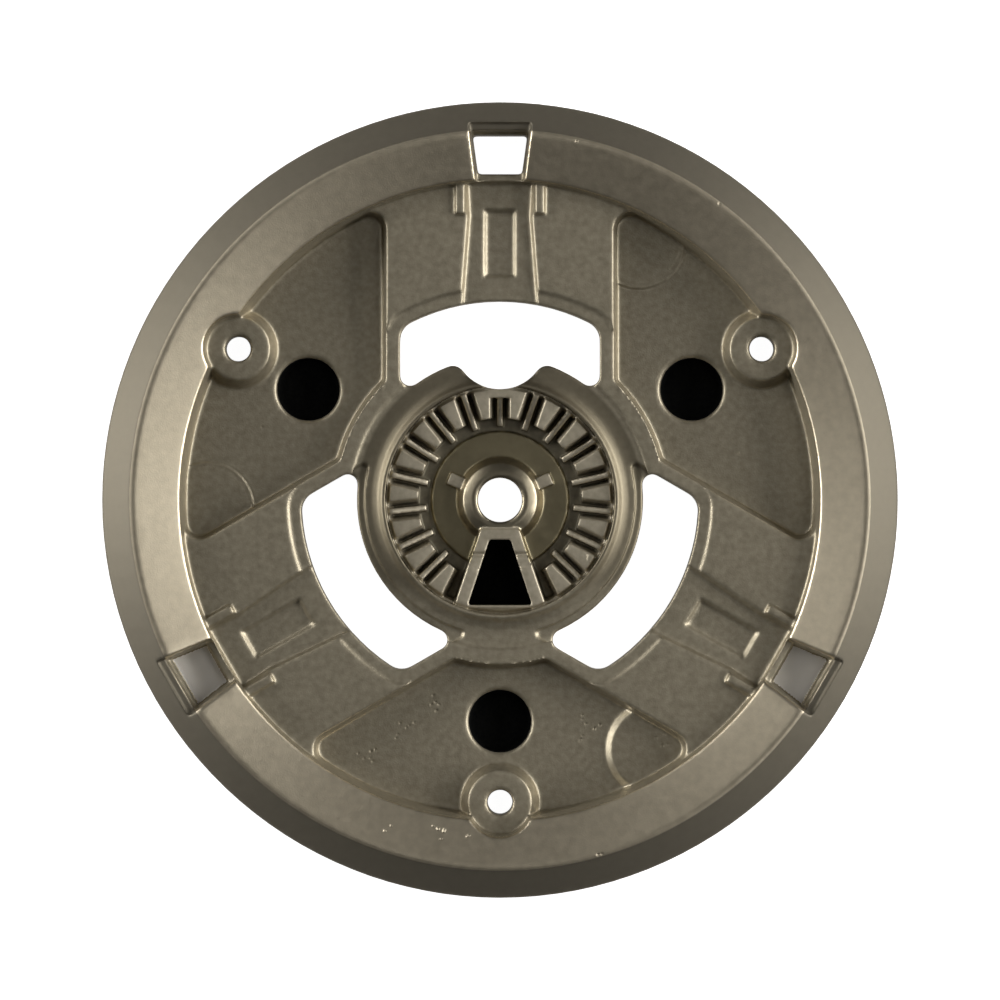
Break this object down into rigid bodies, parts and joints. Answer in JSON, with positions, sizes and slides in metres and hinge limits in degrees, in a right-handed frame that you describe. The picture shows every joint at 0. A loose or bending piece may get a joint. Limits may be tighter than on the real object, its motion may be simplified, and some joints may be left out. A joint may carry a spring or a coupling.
{
  "type": "range burner base",
  "caption": "Round cast burner base with a bevelled rim, floor pockets, spokes, arc windows, screw seats, gas ports and a toothed hub round a centre hole.",
  "frame": {"origin": "centre of the flat underside, on the axis of the centre hole", "axes": "+Z out of the detailed face, +Y towards the open rim slot"},
  "size_m": [0.14, 0.14, 0.014],
  "materials": {
    "cast_metal": "fine cast grain, dark bronze grey"
  },
  "bodies": {
    "root": {"burner_base": "cast_metal"}
  },
  "joints": []
}
